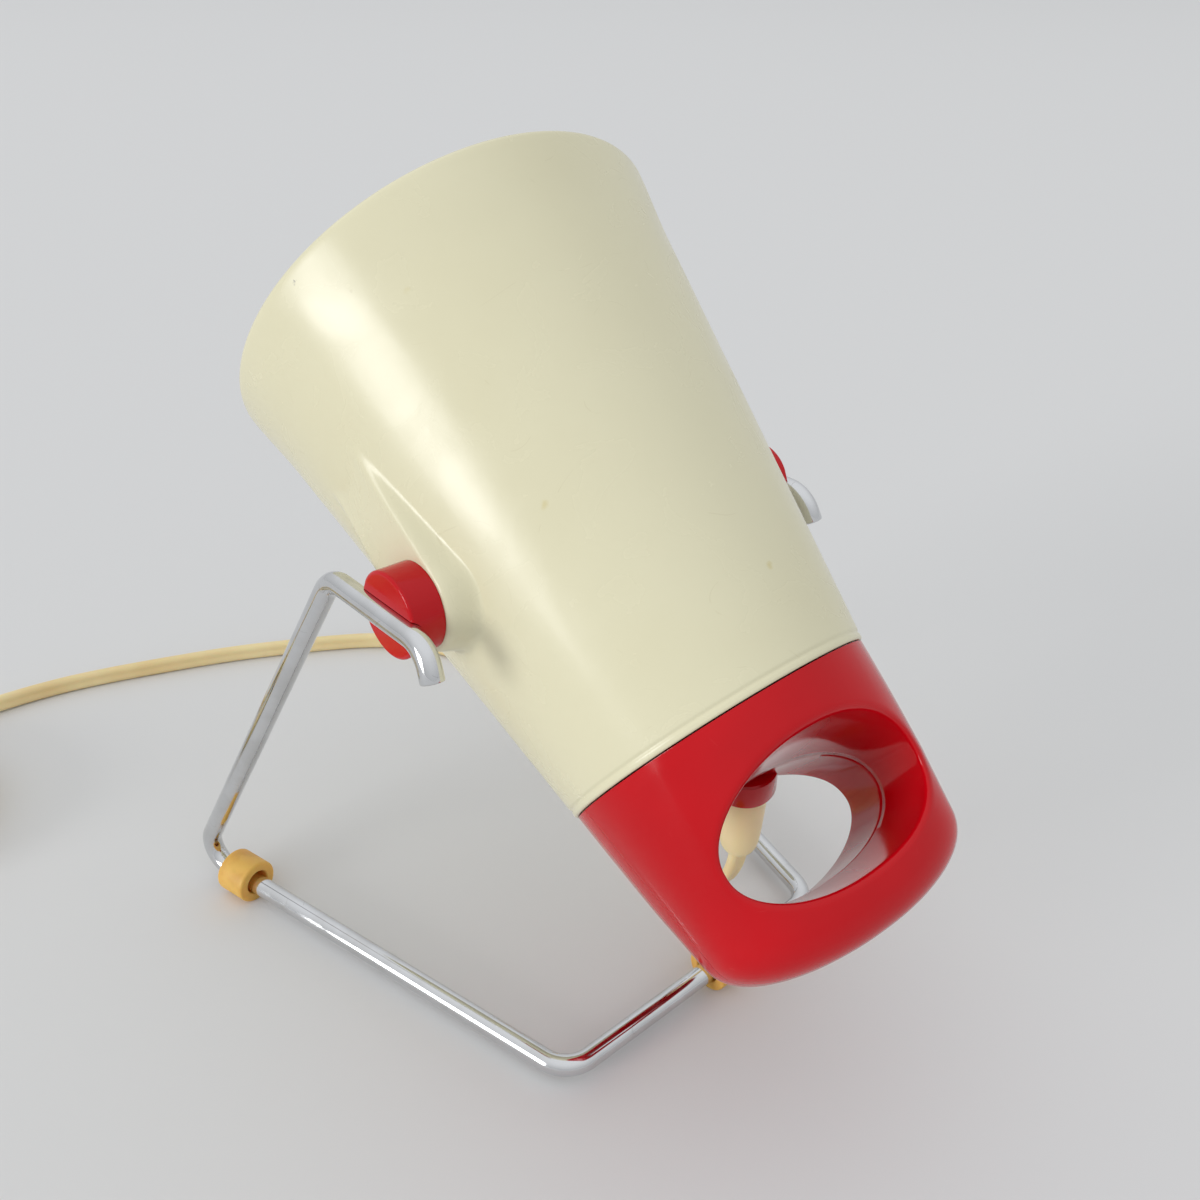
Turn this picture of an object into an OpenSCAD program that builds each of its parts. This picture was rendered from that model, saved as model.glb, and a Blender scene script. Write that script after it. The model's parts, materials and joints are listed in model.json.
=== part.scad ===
// Infrared heat therapy lamp: an enamelled cone on a sprung wire stand.
// Millimetres. The table is z = 0, z points up, and the lamp's mouth faces -Y and upwards.
// The origin is on the table, midway along the lamp and midway across it.

/* [Shade] */
// outer radius of the rolled mouth
mouth_radius = 65.5; // [50:0.5:90]
// outer radius of the small end
neck_radius = 44.1; // [36:0.1:60]
// from the pivot forward to the mouth
pivot_to_mouth = 82.5; // [60:0.5:120]
// from the pivot back to the small end
pivot_to_neck = 61.4; // [50:0.1:90]
// sheet thickness
sheet = 1; // [0.6:0.1:1.6]
// radius of the roll round the mouth
mouth_roll = 1.8; // [1:0.1:3]
// how far the flat side bosses stand out of the cone at the pivot
boss_rise = 5.2; // [4.6:0.1:8]
// half width of a side boss round the pivot
boss_radius = 12.8; // [10:0.1:18]

/* [Handle] */
// length of the handle behind the small end
handle_length = 62.8; // [50:0.1:90]
// half width of the handle near its end
handle_end_width = 36.5; // [30:0.5:50]
// top of the handle above the lamp's axis, at its end
handle_top = 24; // [18:0.5:40]
// underside of the handle below the lamp's axis, at its end
handle_under = 13; // [8:0.5:30]
// height of the parting line above the axis, at the end
parting_rise = 8.5; // [0:0.5:12]
// turn of the handle about the lamp's axis, in degrees
handle_turn = 12; // [0:0.5:15]
// wall of the mouldings
handle_wall = 2.6; // [2:0.1:3.5]
// half length of the grip hole at the parting line, along the lamp
grip_half_length = 15.4; // [12:0.1:20]
// half width of the grip hole at the parting line, across the lamp
grip_half_width = 29; // [20:0.5:32]

/* [Pivot] */
// height of the pivots above the table
pivot_height = 134.5; // [120:0.5:180]
// angle of the lamp's axis above the horizontal, in degrees
head_tilt = 36.4; // [0:0.1:60]
// radius of the side knobs
knob_radius = 11.4; // [9:0.1:16]
// thickness of the side knobs
knob_length = 9; // [8:0.5:14]
// radius of the pivot studs
stud_radius = 2; // [1.5:0.1:3]
// running gap beside the sheet at each pivot
side_gap = 0.1; // [0.05:0.01:0.3]

/* [Stand] */
// diameter of the stand's wire
wire_diameter = 6.1; // [5:0.1:8]
// half width between the front corners of the base
base_front = 89.5; // [80:0.5:120]
// half width between the rear corners of the base
base_rear = 52; // [40:0.5:70]
// front corners, forward of the pivot
front_reach = 95; // [70:0.5:120]
// rear corners, behind the pivot
rear_reach = 51.7; // [40:0.1:70]
// outer radius of the rubber rings
foot_radius = 7; // [5.5:0.1:9]
// length of the rubber rings
foot_length = 11.5; // [8:0.5:20]

/* [Bulb] */
// largest radius of the reflector bulb
bulb_radius = 47.5; // [40:0.5:50]
// from the pivot forward to the bulb's face
bulb_face = 70; // [60:0.5:80]

/* [Cord] */
// width of the flat twin cord
cord_width = 7; // [5:0.1:8]
// thickness of the flat twin cord
cord_thick = 3.5; // [3:0.1:4.5]
// mean radius of the put-away coil
coil_radius = 38.5; // [36:0.5:45]
// turns of the coil in each of its two layers
coil_turns = 3; // [2:4]

/* [Hidden] */
$fn = 64;

// colours
cream = [0.84, 0.83, 0.71];
red = [0.62, 0.05, 0.05];
chrome = [0.75, 0.76, 0.78];
steel = [0.62, 0.63, 0.65];
brass = [0.78, 0.62, 0.30];
porcelain = [0.93, 0.92, 0.88];
tan_rubber = [0.72, 0.53, 0.22];

// fits
touch = 0.03;
grip = 0.1;
shaft_gap = 0.05;

// shade, along the lamp's axis from the pivot
neck_z = -pivot_to_neck;
cone_slope = (mouth_radius - 0.5 - neck_radius) / (pivot_to_mouth + pivot_to_neck);
lip = 0.8;
flange_radius = 36;
roll_radius = mouth_radius - mouth_roll;
roll_z = pivot_to_mouth - mouth_roll;
boss_face = cone_r(0) + boss_rise;

// handle, in its own turned frame
face_z = neck_z - lip - 0.7;
handle_r = neck_radius - 0.7;
cap_length = 15;
plan_power = 2.35;
end_power = 4;
sides = 36;
grip_z = neck_z - 31.5;
grip_power = 2.13;
draft = 0.08;
parting_slope = parting_rise / handle_length;
parting_angle = atan(parting_slope);
collar_r = handle_r - 2.1;
bridge_at = [27, -14];
front_screw = [33, neck_z - 12.6, -16, 26];
rear_screw = [16, neck_z - 54.6, -1.5, 16];
post_r = 3.8;
driver_r = 3;

// strain relief, in the handle's frame
relief_at = [-15.5, -33.6, neck_z - 13.6];
relief_lean = 29;
relief_face = -3;
relief_length = 34;
relief_neck = 6;

// knobs, wire and feet
wire_r = wire_diameter / 2;
knob_base = boss_face + side_gap;
knob_face = knob_base + knob_length;
wire_x = knob_face + 0.7;
stud_head = 4;
foot_bore = wire_r + 0.9;
foot_z = foot_radius - 0.2;
wire_z = foot_z - (foot_bore - wire_r - grip);
foot_back = 21;
rear_foot_x = -9;
left_wire = [[wire_x + 0.9, 20.8, pivot_height - 7.9], [wire_x, 16.8, pivot_height],
    [wire_x, -25.1, pivot_height], [base_front, -front_reach, wire_z], [base_rear, rear_reach, wire_z]];
left_bends = [0, 9, 9, 8, 10];

// bulb and holder, along the lamp's axis
plate_z = neck_z + sheet + touch;
plate_top = plate_z + 1.5;
holder_z = plate_top + touch;
cap_z = holder_z + 7.9;
cap_top = cap_z + 25;
cap_r = 12.7;
shell_r = 14.2;
holder_bore = shell_r + touch;
holder_foot = 27;
holder_hole = 23.4;

// origin: half way between the foremost and the rearmost point of the lamp
lamp_front = -roll_radius * sin(head_tilt) - roll_z * cos(head_tilt) - mouth_roll;
lamp_back = max([for (p = handle_points(0)) world(turned(p))[1]]);
pivot_y = -(lamp_front + lamp_back) / 2;
echo(pivot_y = pivot_y, knob_base = knob_base, wire_x = wire_x, wire_z = wire_z);

// a point of the handle's frame in the head's, and a point of the head's over the table
function turned(p) = [cos(handle_turn) * p[0] + sin(handle_turn) * p[1],
    cos(handle_turn) * p[1] - sin(handle_turn) * p[0], p[2]];
function world(p) = [p[0], p[1] * sin(head_tilt) - p[2] * cos(head_tilt),
    pivot_height + p[1] * cos(head_tilt) + p[2] * sin(head_tilt)];
function unit(v) = v / norm(v);
function lerp(a, b, t) = a + (b - a) * t;
function sp(v, e) = sign(v) * pow(abs(v), e);

module over_table() translate([0, pivot_y, 0]) children();
module in_head() over_table() translate([0, 0, pivot_height]) rotate([90 - head_tilt, 0, 0]) children();
module in_handle() in_head() rotate([0, 0, -handle_turn]) children();
module in_relief() translate(relief_at) rotate([relief_lean - 90, 0, 0]) children();
module pair() {
    children();
    mirror([1, 0, 0]) children();
}
module along_n(x, z) translate([x, 0, z]) rotate([-90, 0, 0]) children();

// a solid through equal rings of points, closed flat at both ends
function ring_faces(count, around) = concat(
    [[for (k = [around - 1:-1:0]) k]],
    [for (i = [0:count - 2], k = [0:around - 1], half = [0, 1])
        let (a = i * around + k, b = i * around + (k + 1) % around)
        half == 0 ? [a, b, b + around] : [a, b + around, a + around]],
    [[for (k = [0:around - 1]) (count - 1) * around + k]]);
module loft(rings) {
    points = [for (ring = rings) for (p = ring) p];
    polyhedron(points, ring_faces(len(rings), len(rings[0])), convexity = 8);
}

// ---- shade ----
function cone_r(z) = neck_radius + cone_slope * (z + pivot_to_neck);

module boss_outline(inset) {
    circle(r = boss_radius - inset);
    polygon([[-boss_radius + inset, 0], [boss_radius - inset, 0], [9 - inset, 46], [inset - 9, 46]]);
}

module boss_prism(inset) rotate([90, 0, 90]) linear_extrude(boss_face - inset) boss_outline(inset);

module cone_profile() {
    difference() {
        polygon([[0, neck_z], [cone_r(neck_z), neck_z], [cone_r(roll_z), roll_z], [0, roll_z]]);
        polygon([[0, neck_z + sheet], [cone_r(neck_z) - sheet, neck_z + sheet],
            [cone_r(roll_z) - sheet, roll_z], [cone_r(roll_z) - sheet, roll_z + 1], [0, roll_z + 1]]);
        translate([0, neck_z - 1]) square([flange_radius, 3]);
    }
    translate([roll_radius, roll_z]) circle(r = mouth_roll);
    translate([cone_r(neck_z) - lip, neck_z]) circle(r = lip);
}

module cone_core() rotate_extrude() polygon([[0, neck_z + 6], [cone_r(neck_z + 6) - sheet, neck_z + 6],
    [cone_r(60) - sheet, 60], [0, 60]]);

module shade() color(cream) in_head() {
    difference() {
        union() {
            rotate_extrude() cone_profile();
            difference() {
                pair() boss_prism(0);
                cone_core();
            }
        }
        pair() difference() {
            boss_prism(sheet);
            translate([-1, -20, -20]) cube([30, 40, 80]);
        }
        translate([-80, 0, 0]) rotate([0, 90, 0]) cylinder(r = stud_radius + shaft_gap, h = 160);
    }
}

// ---- handle ----
function parting(z) = (neck_z - z) * parting_slope;
function cap_factor(x, power) = pow(1 - pow(max(0, min(0.9995, x)), power), 1 / power);
function handle_ring(d, t, z) =
    let (long = handle_length - d, x = (t * long - long + cap_length - d) / (cap_length - d),
        at = t * long / handle_length,
        wide = (lerp(handle_r, handle_end_width, at) - d) * cap_factor(x, plan_power),
        up = (lerp(handle_r, handle_top, at) - parting_rise * at - d) * cap_factor(x, end_power),
        down = (lerp(handle_r, handle_under, at) + parting_rise * at - d) * cap_factor(x, end_power),
        power = 2 / (2 + 0.4 * min(1, 2 * at)))
    [for (k = [0:sides - 1])
        let (a = (k + 0.5) * 360 / sides)
        [wide * sp(cos(a), power), parting(z) + (sin(a) > 0 ? up : down) * sp(sin(a), power), z]];
function stations() = concat([0, 0.15, 0.3, 0.45, 0.6, 0.76],
    [for (k = [1:8]) 0.76 + 0.24 * sin(k * 11.03)]);
function handle_rings(d) = [for (t = stations()) handle_ring(d, t, face_z - t * (handle_length - 1.5 - d))];
function handle_points(d) = [for (ring = handle_rings(d)) for (p = ring) p];
function grip_ring(d, side, h) = [for (k = [0:39])
    let (a = -side * (k + 0.5) * 9, z = grip_z + (grip_half_length + d + draft * h) * sp(cos(a), 2 / grip_power))
    [(grip_half_width + d + draft * h) * sp(sin(a), 2 / grip_power), parting(z) + side * h, z]];

module outer() loft(handle_rings(0));

module cavity() loft(concat([handle_ring(handle_wall, 0, face_z + 4)], handle_rings(handle_wall)));

module grip_tunnel(d, side) loft([grip_ring(d, side, -2), grip_ring(d, side, 48)]);

module half_space(side) translate([0, 0, neck_z]) rotate([parting_angle, 0, 0])
    translate([-60, side > 0 ? 0 : -70, -80]) cube([120, 70, 100]);

module post(x, z, r) along_n(x, z) translate([0, 0, -60]) cylinder(r = r, h = 120);

module posts() {
    pair() post(front_screw[0], front_screw[1], post_r);
    pair() post(rear_screw[0], rear_screw[1], post_r);
}

module lower_fittings() {
    pair() translate([bridge_at[0], bridge_at[1], neck_z - 11]) cylinder(r = 4, h = 16);
    pair() translate([bridge_at[0] - 1, -40, neck_z - 11]) cube([2, 26, 8]);
    in_relief() translate([-11, 1.85, 9]) cube([22, 8, 6]);
    in_relief() cylinder(r = 9.5, h = 4);
}

module handle_shell(side) difference() {
    outer();
    difference() {
        cavity();
        grip_tunnel(handle_wall, side);
        posts();
        if (side < 0)
            lower_fittings();
    }
    grip_tunnel(0, side);
}

module collar() translate([0, 0, neck_z - 5]) difference() {
    cylinder(r = collar_r, h = 5 - touch);
    translate([0, 0, -1]) cylinder(r = collar_r - 2.6, h = 8);
}

module handle_upper() color(red) in_handle() difference() {
    intersection() {
        union() {
            handle_shell(1);
            collar();
        }
        half_space(1);
    }
    pair() screw_hole(front_screw);
    pair() screw_hole(rear_screw);
}

module screw_hole(at) along_n(at[0], at[1]) translate([0, 0, at[2]]) cylinder(r = 1.5 + touch, h = at[3] + 1);

module driver_hole(at) along_n(at[0], at[1]) translate([0, 0, at[2] - 40]) cylinder(r = driver_r, h = 40);

module handle_lower() color(red) in_handle() difference() {
    union() {
        intersection() {
            union() {
                handle_shell(-1);
                collar();
                in_relief() translate([0, 0, relief_face]) cylinder(r = 9.5, h = 5);
            }
            half_space(-1);
        }
        pair() translate([bridge_at[0], bridge_at[1], neck_z - 5]) cylinder(r = 4, h = 5 + sheet);
    }
    pair() screw_hole(front_screw);
    pair() screw_hole(rear_screw);
    pair() driver_hole(front_screw);
    pair() driver_hole(rear_screw);
    pair() translate([bridge_at[0], bridge_at[1], neck_z - 8.6]) cylinder(r = 1.5 + touch, h = 12);
    in_relief() translate([0, 0, relief_face - 1]) cylinder(r = relief_neck + grip, h = 12);
    in_relief() translate([0, 0, 3.1]) cylinder(r = 7.9, h = 2.6);
    for (x = [-7, 7]) in_relief() translate([x, 0, 12]) rotate([-90, 0, 0]) cylinder(r = 1.25 + touch, h = 7);
}

module screw(r, long, head_r, head_h) {
    cylinder(r = r, h = long);
    difference() {
        translate([0, 0, -head_h]) cylinder(r = head_r, h = head_h);
        translate([-0.4, -head_r, -head_h - 0.1]) cube([0.8, 2 * head_r, 0.9]);
    }
}

module handle_screws() color(steel) in_handle() pair() {
    along_n(front_screw[0], front_screw[1]) translate([0, 0, front_screw[2]]) screw(1.5, front_screw[3], 2.8, 2);
    along_n(rear_screw[0], rear_screw[1]) translate([0, 0, rear_screw[2]]) screw(1.5, rear_screw[3], 2.8, 2);
}

// ---- bridge plate and lamp holder ----
module bridge_plate() color(steel) in_head() difference() {
    translate([0, 0, plate_z]) cylinder(r = cone_r(neck_z) - sheet - 0.6, h = 1.5);
    rotate([0, 0, -handle_turn]) {
        pair() translate([bridge_at[0], bridge_at[1], neck_z - 1]) cylinder(r = 1.5 + touch, h = 6);
        pair() translate([32, 0, neck_z - 1]) cylinder(r = 2.4, h = 6);
    }
    for (y = [-holder_hole, holder_hole])
        translate([0, y, neck_z - 1]) cylinder(r = 1.5 + touch, h = 6);
}

module bridge_screws() color(steel) in_handle() pair()
    translate([bridge_at[0], bridge_at[1], plate_top + touch]) rotate([180, 0, 0]) screw(1.5, 9, 2.9, 2);

module holder_body() color(porcelain) in_head() difference() {
    union() {
        translate([0, 0, holder_z]) cylinder(r = holder_foot, h = 8);
        translate([0, 0, holder_z]) cylinder(r = 19.6, h = 32);
    }
    translate([0, 0, holder_z + 2.8]) cylinder(r = holder_bore, h = 40);
    for (y = [-holder_hole, holder_hole]) translate([0, y, holder_z - 1]) cylinder(r = 1.5 + touch, h = 10);
    rotate([0, 0, -handle_turn]) pair()
        translate([holder_hole, 0, holder_z + 3]) cylinder(r = 1.5 + touch, h = 10);
}

module holder_screws() color(steel) in_head() for (y = [-holder_hole, holder_hole])
    translate([0, y, holder_z + 8 + touch]) rotate([180, 0, 0]) screw(1.5, 11, 2.9, 2);

module terminal_screws() color(brass) in_handle() pair()
    translate([holder_hole, 0, holder_z + 8 + touch]) rotate([180, 0, 0]) screw(1.5, 4.8, 2.9, 2);

// wave of the screw cap's round thread
function wave(z0, count, pitch, mid, swing, steps) = [for (k = [0:count * steps])
    [mid - swing * cos(k * 360 / steps), z0 + k * pitch / steps]];

module holder_shell() color(brass) in_head() difference() {
    translate([0, 0, holder_z + 7]) cylinder(r = shell_r, h = 24.5);
    rotate_extrude() polygon(concat([[0, cap_z - 2]], [[13.5, cap_z - 2]],
        wave(cap_z - 0.2, 6, 3.6, 13.6, 0.3, 6), [[13.6, cap_z + 26], [0, cap_z + 26]]));
}

module holder_contact() color(brass) in_head() {
    translate([-4, -9, holder_z + 2.8 + touch]) cube([8, 18, 0.6]);
    translate([0, 0, holder_z + 3.4]) cylinder(r = 3.4, h = cap_z - 3.7 - holder_z - 3.4 - touch);
}

// ---- bulb ----
bulb_outline = [[0, bulb_face], [16, bulb_face - 0.8], [30, bulb_face - 3.2], [40, bulb_face - 6.6],
    [45.5, bulb_face - 10], [bulb_radius, bulb_face - 14.5], [bulb_radius - 0.4, bulb_face - 19],
    [44, bulb_face - 27], [37.5, bulb_face - 38], [29.5, bulb_face - 52], [22, bulb_face - 67],
    [18, bulb_face - 78], [16.6, bulb_face - 88]];
function shrink(points, d) = [for (p = points)
    [max(0, p[0] - (p[1] > bulb_face - 10 ? 0 : d)), p[1] - (p[1] > bulb_face - 15 ? d : 0)]];

module bulb_glass() color([0.80, 0.10, 0.08]) in_head() rotate_extrude() difference() {
    polygon(concat(bulb_outline, [[11.8, cap_top + 0.2], [0, cap_top + 0.2]]));
    polygon(concat(shrink(bulb_outline, 1), [[10.8, cap_top + 2.5], [0, cap_top + 2.5]]));
}

module bulb_cap() color([0.80, 0.78, 0.70]) in_head() difference() {
    rotate_extrude() polygon(concat([[0, cap_z]], wave(cap_z, 5, 3.6, cap_r, 0.4, 6),
        [[cap_r - 0.2, cap_top - 6], [12.9, cap_top], [0, cap_top]]));
    translate([0, 0, cap_z + 1]) cylinder(r = 11.4, h = 30);
    translate([0, 0, cap_z - 1]) cylinder(r = 9.5, h = 3);
}

module bulb_insulator() color([0.12, 0.12, 0.14]) in_head() difference() {
    union() {
        translate([0, 0, cap_z - 2.6]) cylinder(r1 = 5.4, r2 = 9.3, h = 2.6);
        translate([0, 0, cap_z - 0.01]) cylinder(r = 9.5 - touch, h = 1);
    }
    translate([0, 0, cap_z - 3]) cylinder(r = 1.5, h = 6);
}

module bulb_contact() color(steel) in_head() {
    translate([0, 0, cap_z - 3.7]) cylinder(r = 4.6, h = 1.07);
    translate([0, 0, cap_z - 2.7]) cylinder(r = 1.4, h = 3);
}

module filament() color(steel) in_head() {
    translate([0, 0, cap_top + 2.53]) cylinder(r1 = 9, r2 = 4.5, h = 6);
    translate([0, 0, cap_top + 8.5]) cylinder(r = 3.2, h = 22);
    pair() translate([2, 0, cap_top + 30]) rotate([0, 38, 0]) cylinder(r = 0.6, h = 20, $fn = 16);
    translate([0, 0, cap_top + 45.3]) rotate([0, 90, 0]) translate([0, 0, -14.5]) cylinder(r = 1.1, h = 29);
}

// ---- wiring inside the handle ----
function straight_frames(path, wide) = [for (i = [0:len(path) - 1])
    let (a = path[max(0, i - 1)], b = path[min(len(path) - 1, i + 1)], t = unit(b - a),
        w = unit(wide[i] - (wide[i] * t) * t)) [path[i], w, cross(t, w)]];
function swept(path, wide, section) = [for (f = straight_frames(path, wide))
    [for (q = section) f[0] + q[0] * f[1] + q[1] * f[2]]];
function round_section(r, n) = [for (k = [0:n - 1]) r * [cos(k * 360 / n), sin(k * 360 / n)]];
function flat_section(w, t) = [for (q = [[1, 0.35], [0.86, 0.82], [0.6, 1], [-0.6, 1], [-0.86, 0.82],
    [-1, 0.35], [-1, -0.35], [-0.86, -0.82], [-0.6, -1], [0.6, -1], [0.86, -0.82], [1, -0.35]])
    [q[0] * w / 2, -q[1] * t / 2]];
function smooth(path, steps) = concat([for (i = [0:len(path) - 2], k = [0:steps - 1])
    let (p1 = path[i], p2 = path[i + 1], p0 = i == 0 ? 2 * p1 - p2 : path[i - 1],
        p3 = i == len(path) - 2 ? 2 * p2 - p1 : path[i + 2], t = k / steps)
    0.5 * (2 * p1 + t * (p2 - p0) + t * t * (2 * p0 - 5 * p1 + 4 * p2 - p3)
        + t * t * t * (3 * p1 - p0 - 3 * p2 + p3))], [path[len(path) - 1]]);

// inner end of the cord, in the handle's frame
function relief_point(z, x) = relief_at + [x, z * cos(relief_lean), z * sin(relief_lean)];
split_z = 17;
lead_r = 1.1;
lead_rise = neck_z - 4.6;
lead_end = holder_z + 10.2;

module lead(side, path) in_handle() {
    fine = smooth(path, 2);
    loft(swept(fine, [for (p = fine) [0.3, 1, 0.2]], round_section(lead_r, 8)));
}

module lead_left() color([0.35, 0.22, 0.15]) lead(1, [relief_point(split_z + 0.3, 2),
    relief_point(split_z + 3, 2.2), [-6, -10, lead_rise], [8, -4, lead_rise], [21, -1, lead_rise],
    [29.5, 0, lead_rise + 1], [32, 0, neck_z + 1], [32, 0, lead_end - 5], [30.5, 0, lead_end - 1.4],
    [holder_hole + 3.1, 0, lead_end - 1]]);

module lead_right() color([0.12, 0.22, 0.45]) lead(-1, [relief_point(split_z + 0.3, -2),
    relief_point(split_z + 3, -2.4), [-21, -10, lead_rise], [-27, -3.5, lead_rise - 0.6],
    [-31.2, 0, lead_rise + 1.5], [-32, 0, neck_z + 1], [-32, 0, lead_end - 5],
    [-30.5, 0, lead_end - 1.4], [-holder_hole - 3.1, 0, lead_end - 1]]);

module cord_inner() color(cream) in_handle() loft(swept([relief_point(5.4, 0), relief_point(11, 0),
    relief_point(split_z, 0)], [for (k = [0:2]) [1, 0, 0]], flat_section(cord_width, cord_thick)));

module cord_clamp() color(porcelain) in_handle() in_relief() difference() {
    translate([-10.5, -cord_thick / 2 - 2.6, 9.5]) cube([21, 2.5, 5]);
    for (x = [-7, 7]) translate([x, 0, 12]) rotate([90, 0, 0]) cylinder(r = 1.25 + touch, h = 8);
}

module clamp_screws() color(steel) in_handle() in_relief() for (x = [-7, 7])
    translate([x, -cord_thick / 2 - 2.63, 12]) rotate([-90, 0, 0]) screw(1.25, 10.2, 2.4, 1.7);

module strain_relief() color(cream) in_handle() in_relief() rotate_extrude() polygon([
    [0, -relief_length], [3.9, -relief_length], [5.8, 3 - relief_length], [7.5, relief_face - 0.05],
    [relief_neck, relief_face - 0.05], [relief_neck, 3.2], [7.6, 3.9], [7.6, 5.35], [0, 5.35]]);

// ---- pivots ----
module at_pivot() over_table() translate([0, 0, pivot_height]) children();

module knob() at_pivot() difference() {
    translate([knob_base, 0, 0]) rotate([0, 90, 0]) cylinder(r = knob_radius, h = knob_length);
    translate([wire_x, -20, 0]) rotate([-90, 0, 0]) cylinder(r = wire_r + grip, h = 40);
    translate([wire_x, -20, -wire_r - grip]) cube([5, 40, 2 * (wire_r + grip)]);
    translate([knob_base - 1, 0, 0]) rotate([0, 90, 0]) cylinder(r = stud_radius + touch, h = 3.8);
    translate([knob_base + 2.7, 0, 0]) rotate([0, 90, 0]) cylinder(r = stud_head + touch, h = 2.06);
}

module knob_left() color(red) knob();

module knob_right() color(red) mirror([1, 0, 0]) knob();

module pivot_studs() color(steel) at_pivot() pair() {
    translate([boss_face - sheet - 6, 0, 0]) rotate([0, 90, 0])
        cylinder(r = stud_radius, h = knob_base + 3 - (boss_face - sheet - 6));
    translate([knob_base + 2.73, 0, 0]) rotate([0, 90, 0]) cylinder(r = stud_head, h = 2);
}

module pivot_washers() color(steel) at_pivot() pair()
    translate([boss_face - sheet - side_gap - 0.8, 0, 0]) rotate([0, 90, 0]) difference() {
        cylinder(r = 5, h = 0.8);
        translate([0, 0, -1]) cylinder(r = stud_radius + touch, h = 3);
    }

module pivot_nuts() color(steel) at_pivot() pair()
    translate([boss_face - sheet - side_gap - 0.83 - 3.2, 0, 0]) rotate([0, 90, 0]) difference() {
        cylinder(r = 4.04, h = 3.2, $fn = 6);
        translate([0, 0, -1]) cylinder(r = stud_radius + touch, h = 6);
    }

// ---- stand ----
function way(path, i) = unit(path[i + 1] - path[i]);

// points round the corner at p, from direction u into direction v with radius r
function corner(p, u, v, r) =
    let (turn = acos(u * v), w = unit(v - (u * v) * u), start = p - u * r * tan(turn / 2), centre = start + r * w)
    [for (k = [0:7]) centre - r * cos(turn * k / 7) * w + r * sin(turn * k / 7) * u];
function rounded(path, bends) = concat([path[0]],
    [for (i = [1:len(path) - 2]) for (p = corner(path[i], way(path, i - 1), way(path, i), bends[i])) p],
    [path[len(path) - 1]]);
function mirrored(path) = [for (i = [len(path) - 1:-1:0]) [-path[i][0], path[i][1], path[i][2]]];

// a section direction carried along the path without twist
function headings(path) = [for (i = [0:len(path) - 1])
    unit(path[min(len(path) - 1, i + 1)] - path[max(0, i - 1)])];
function carried(ways, w, i) = i >= len(ways) ? []
    : let (v = unit(w - (w * ways[i]) * ways[i])) concat([v], carried(ways, v, i + 1));

module stand_wire() color(chrome) over_table() {
    path = rounded(concat(left_wire, mirrored(left_wire)), concat(left_bends, [for (i = [4:-1:0]) left_bends[i]]));
    loft(swept(path, carried(headings(path), [1, 0, 0], 0), round_section(wire_r, 24)));
}

module foot() difference() {
    rotate_extrude() polygon([[foot_bore, -foot_length / 2], [foot_radius - 0.8, -foot_length / 2],
        [foot_radius, 0.8 - foot_length / 2], [foot_radius, foot_length / 2 - 0.8],
        [foot_radius - 0.8, foot_length / 2], [foot_bore, foot_length / 2]]);
}

module flat_under() difference() {
    children();
    translate([-200, -200, -10]) cube([400, 400, 10]);
}

front_corner = [base_front, -front_reach];
base_way = unit([base_rear, rear_reach] - front_corner);
side_foot = front_corner + foot_back * base_way;

module side_foot_ring() over_table() flat_under() translate([side_foot[0], side_foot[1], foot_z])
    rotate([-90, 0, atan2(base_way[1], base_way[0]) - 90]) foot();

module foot_left() color(tan_rubber) side_foot_ring();

module foot_right() color(tan_rubber) mirror([1, 0, 0]) side_foot_ring();

module foot_rear() color(tan_rubber) over_table() flat_under()
    translate([rear_foot_x, rear_reach, foot_z]) rotate([0, 90, 0]) foot();

// ---- cord ----
// the coil: its pitch outwards, its height off the table, and where its middle lies
coil_pitch = cord_thick + 0.6;
coil_lift = 1.3;
layer_gap = 0.6;
coil_out = coil_radius + coil_pitch * (coil_turns - 1) / 2 + 0.3;
coil_at = [178, -231 + coil_out];
coil_rings = 24;
on_edge = 5;
coil_rise = 15;
turn_length = 3.5;

// the cord hangs from the relief, lies flat across the table, turns on edge and is put away in a
// coil of two layers, outside in and inside out; measured from the pivot's foot on the table
off_table = 0.05;
lie = cord_thick / 2 + off_table;
relief_tip = world(turned(relief_point(-relief_length - 0.1, 0)));
relief_way = unit(world(turned(relief_point(-relief_length - 1, 0))) - world(turned(relief_point(-relief_length, 0))));
relief_wide = unit(world(turned([1, 0, 0])) - world([0, 0, 0]));
lead_end_y = -3;
lead_points = [relief_tip, relief_tip + 4 * relief_way, [-30, 36.4, 21.5], [-30.8, 33, 14], [-31.4, 27.5, 8],
    [-32, 20, 4], [-32.6, 11, 2.2], [-33.2, 3, lie], [-33.8, lead_end_y, lie]];
floor_points = [[-33.8, lead_end_y - 0.1, 0], [-34.4, -9, 0], [-37, -30, 0], [-42, -55, 0], [-48, -80, 0],
    [-54, -105, 0], [-56, -128, 0], [-52, -148, 0], [-42, -165, 0], [-28.5, -178, 0], [-13, -188, 0],
    [4, -197, 0], [25, -207, 0], [50, -216.5, 0], [76, -225, 0], [96, -229.5, 0], [117, -231, 0],
    [138, -231, 0], [160, -231, 0], [coil_at[0] - 8, coil_at[1] - coil_out, 0],
    [coil_at[0] - 1, coil_at[1] - coil_out, 0]];

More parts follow.
